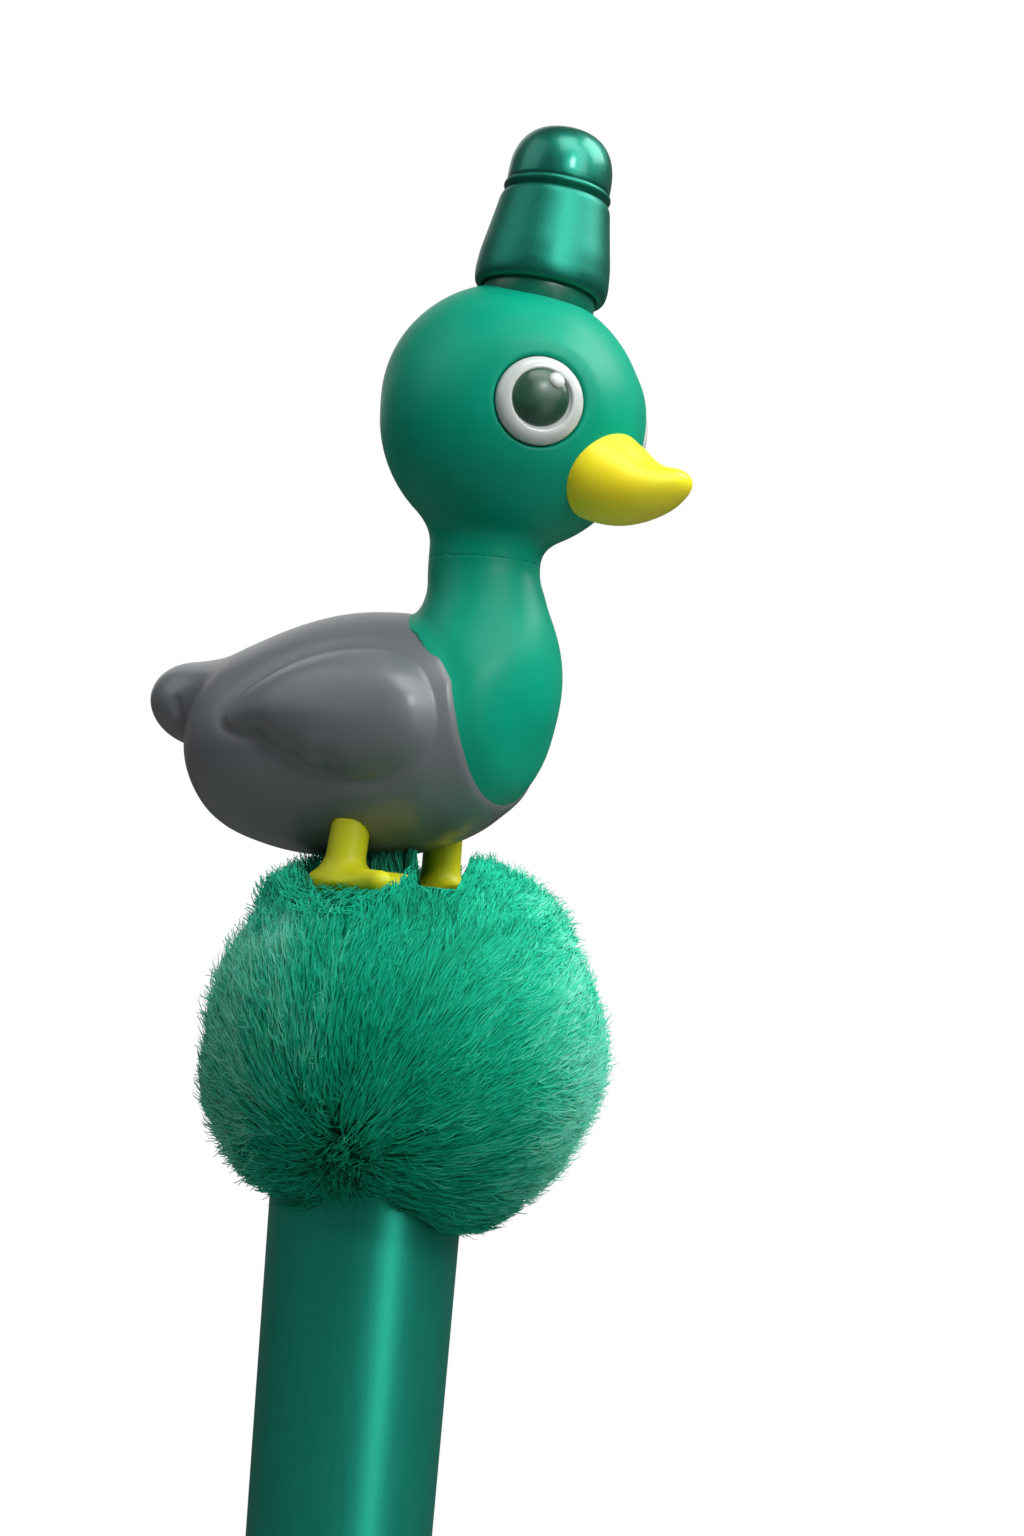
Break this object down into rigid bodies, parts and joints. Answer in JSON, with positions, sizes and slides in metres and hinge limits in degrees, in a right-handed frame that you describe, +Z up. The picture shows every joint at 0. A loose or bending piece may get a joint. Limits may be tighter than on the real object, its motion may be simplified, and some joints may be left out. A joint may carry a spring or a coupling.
{
  "type": "novelty twist pen with duck topper",
  "caption": "Twist-action ballpoint pen with a tapered metallic barrel, a faux-fur pom-pom and a toy duck on top that wears a turned cap.",
  "frame": {"origin": "centre of the nose cone's front opening, on the pen's axis", "axes": "+Z up the pen's axis towards the duck, +X the way the duck faces, +Y to the duck's left"},
  "size_m": [0.0373, 0.026, 0.1885],
  "materials": {
    "barrel_green": "satin metallic lacquer",
    "polished_metal": "polished",
    "vinyl_green": "satin soft vinyl",
    "vinyl_grey": "satin soft vinyl",
    "vinyl_yellow": "satin soft vinyl",
    "eye_white": "gloss",
    "eye_green": "gloss",
    "collar_green": "satin",
    "hat_green": "satin metallic lacquer",
    "fur_green": "faux fur, 5 mm pile",
    "stuffing": "polyester fibre filling",
    "elastic": "woven elastic",
    "plastic_natural": "natural acetal",
    "plastic_green": "satin",
    "refill_plastic": "translucent",
    "ink": "paste ink",
    "brass": "turned",
    "steel": "drawn"
  },
  "bodies": {
    "lower": {"lower_barrel": "barrel_green", "nose_cone": "polished_metal", "centre_ring": "polished_metal", "guide_sleeve": "plastic_natural", "return_spring": "steel"},
    "refill": {"refill_tube": "refill_plastic", "refill_tip": "brass", "writing_ball": "steel", "ink_column": "ink", "refill_carrier": "plastic_natural", "spring_stop": "brass"},
    "upper": {"upper_barrel": "barrel_green", "cam_sleeve": "plastic_natural", "top_plug": "plastic_green", "stem": "steel", "pompom_stuffing": "stuffing", "pompom_fur": "fur_green", "gather_ring": "elastic", "foot_plate": "plastic_green", "leg_right": "vinyl_yellow", "leg_left": "vinyl_yellow", "body_shell": "vinyl_grey", "neck_breast": "vinyl_green", "neck_pin": "plastic_natural"},
    "head": {"head_shell": "vinyl_green", "head_bush": "plastic_natural", "beak": "vinyl_yellow", "eye_white_right": "eye_white", "eye_white_left": "eye_white", "pupil_right": "eye_green", "pupil_left": "eye_green", "glint_right": "eye_white", "glint_left": "eye_white", "hat_collar": "collar_green"},
    "hat": {"hat_cup": "hat_green", "hat_band": "hat_green", "hat_dome": "hat_green"}
  },
  "joints": [
    {"name": "twist", "type": "hinge", "parent": "lower", "child": "upper", "pos_m": [0, 0, 0.061], "axis": [0, 0, 1], "range_deg": [0, 180]},
    {"name": "refill_travel", "type": "slide", "parent": "lower", "child": "refill", "axis": [0, 0, -1], "range_m": [0, 0.005], "deforming": ["return_spring"]},
    {"name": "head_turn", "type": "hinge", "parent": "upper", "child": "head", "pos_m": [0.00485, 0, 0.1614], "axis": [0, 0, 1], "range_deg": [-60, 60]},
    {"name": "hat_turn", "type": "hinge", "parent": "head", "child": "hat", "pos_m": [0.0071, 0.0003, 0.17745], "axis": [0.0496, 0.1141, 0.9922], "continuous": true}
  ],
  "couplings": [
    {"joint": "refill_travel", "follows": "twist", "m_per_rad": 0.0015915}
  ]
}
